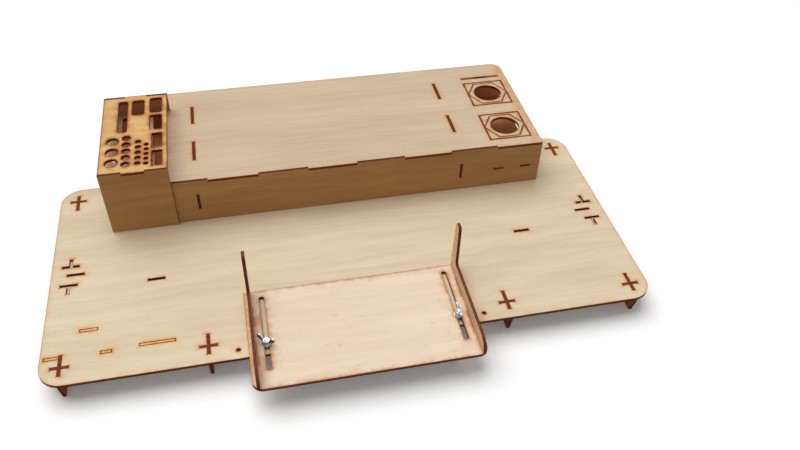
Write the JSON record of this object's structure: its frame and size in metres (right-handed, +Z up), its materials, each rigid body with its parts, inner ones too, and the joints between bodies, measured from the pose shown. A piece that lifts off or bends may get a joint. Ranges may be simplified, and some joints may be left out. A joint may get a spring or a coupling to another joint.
{
  "type": "workstation organizer",
  "caption": "Laser-cut plywood bench organizer: footed board, sliding cradle clamped by wing nuts, raised rear shelf with a slotted tool box and jar wells.",
  "frame": {"origin": "on the floor below the centre of the whole part, with the carriage at its pictured place", "axes": "+X to the right along the board, +Y from the front to the back, +Z up"},
  "size_m": [0.586, 0.4022, 0.101],
  "materials": {
    "board_ply": "raw sanded birch plywood, yellowish",
    "carriage_ply": "raw sanded birch plywood, pinkish",
    "shelf_ply": "raw sanded birch plywood, tan",
    "box_ply": "raw birch plywood scorched by the laser",
    "edge_ply": "raw birch plywood with burnt edges",
    "zinc": "zinc plated"
  },
  "bodies": {
    "frame": {"base_board": "board_ply", "front_foot_long_plates": "edge_ply", "front_foot_cross_plates": "edge_ply", "back_foot_long_plates": "edge_ply", "back_foot_cross_plates": "edge_ply", "shelf_plate": "shelf_ply", "shelf_front_panel": "edge_ply", "divider_left": "edge_ply", "divider_right": "edge_ply", "jar_back_panel": "edge_ply", "jar_floor": "edge_ply", "tool_top_plate": "box_ply", "tool_front_panel": "edge_ply", "tool_back_panel": "edge_ply", "clamp_bolts": "zinc", "clamp_washers": "zinc"},
    "carriage": {"carriage_plate": "carriage_ply", "carriage_rib_left": "edge_ply", "carriage_rib_right": "edge_ply"},
    "left_wing_nut": {"wing_nut_left": "zinc"},
    "right_wing_nut": {"wing_nut_right": "zinc"}
  },
  "joints": [
    {"name": "carriage_slide", "type": "slide", "parent": "frame", "child": "carriage", "axis": [0, 1, 0], "range_m": [-0.056, 0.028]},
    {"name": "left_nut_spin", "type": "hinge", "parent": "frame", "child": "left_wing_nut", "pos_m": [-0.0915, -0.1509, 0.032], "axis": [0, 0, 1], "continuous": true},
    {"name": "right_nut_spin", "type": "hinge", "parent": "frame", "child": "right_wing_nut", "pos_m": [0.0915, -0.1509, 0.032], "axis": [0, 0, 1], "continuous": true}
  ]
}
